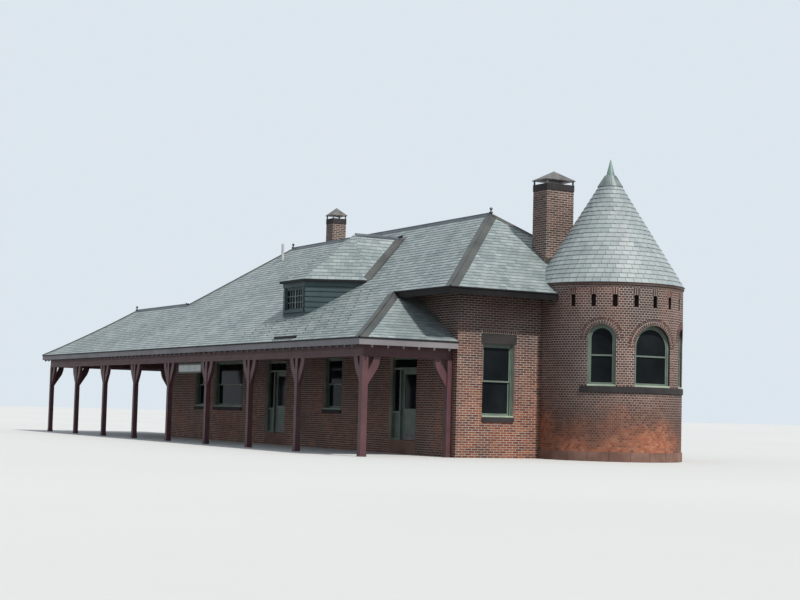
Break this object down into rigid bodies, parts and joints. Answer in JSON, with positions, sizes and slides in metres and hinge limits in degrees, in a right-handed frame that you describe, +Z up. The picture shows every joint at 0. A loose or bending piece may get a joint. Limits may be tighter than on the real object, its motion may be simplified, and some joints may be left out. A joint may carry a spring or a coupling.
{
  "type": "railway station building",
  "caption": "Single-storey brick station building with a round corner tower, slate roofs, a dormer, chimneys and a long timber porch with a shelter.",
  "frame": {"origin": "on the ground, below the middle of the outline", "axes": "+Z up, X along the tracks with +X towards the tower's end wall, -Y towards the porch and the tracks"},
  "size_m": [31.2019, 10.362, 8.895],
  "materials": {
    "brick": "weathered brown brick in pale mortar",
    "concrete": "plain floor slab",
    "green_timber": "painted timber, matt",
    "stone": "dressed stone, weathered",
    "slate": "weathered grey slate",
    "dark_board": "painted board, matt",
    "maroon_timber": "painted timber, matt",
    "grey_timber": "painted timber, matt",
    "sheet_metal": "dull sheet metal",
    "glass": "clear window glass"
  },
  "bodies": {
    "building": {"annex_end_wall": "brick", "annex_floor": "concrete", "annex_side_walls": "brick", "door_frames": "green_timber", "door_thresholds": "stone", "dormer_cheeks": "green_timber", "dormer_front": "green_timber", "dormer_roof": "slate", "dormer_window": "green_timber", "end_wall": "brick", "far_wall": "brick", "hall_floor": "concrete", "left_wall": "brick", "main_end_slope": "slate", "main_far_slope": "slate", "main_left_slope": "slate", "main_track_slope": "slate", "name_board": "dark_board", "porch_beams": "maroon_timber", "porch_braces": "maroon_timber", "porch_end_slope": "slate", "porch_fascia": "grey_timber", "porch_posts": "maroon_timber", "porch_track_slope": "slate", "rear_chimney": "brick", "rear_chimney_hood": "sheet_metal", "sash_windows": "green_timber", "shelter_back_slope": "slate", "shelter_end_slope": "slate", "shelter_track_slope": "slate", "stone_lintels": "stone", "stone_sills": "stone", "tower_blank_walls": "brick", "tower_cap": "sheet_metal", "tower_chimney": "brick", "tower_chimney_hood": "sheet_metal", "tower_foot": "stone", "tower_roof": "slate", "tower_sill_band": "stone", "tower_wall_1": "brick", "tower_wall_2": "brick", "tower_wall_3": "brick", "tower_wall_4": "brick", "tower_windows": "green_timber", "track_wall_1": "brick", "track_wall_2": "brick", "track_wall_3": "brick", "track_wall_over_doors": "brick", "upper_fascia": "grey_timber", "vent_pipe": "sheet_metal", "window_glass": "glass"},
    "near_door_leaf": {"near_door": "green_timber"},
    "far_door_leaf": {"far_door": "green_timber"}
  },
  "joints": [
    {"name": "near_door_hinge", "type": "hinge", "parent": "building", "child": "near_door_leaf", "pos_m": [9.777, -1.809, 1.45], "axis": [0, 0, 1], "range_deg": [0, 90]},
    {"name": "far_door_hinge", "type": "hinge", "parent": "building", "child": "far_door_leaf", "pos_m": [0.957, -1.809, 1.45], "axis": [0, 0, 1], "range_deg": [0, 90]}
  ]
}
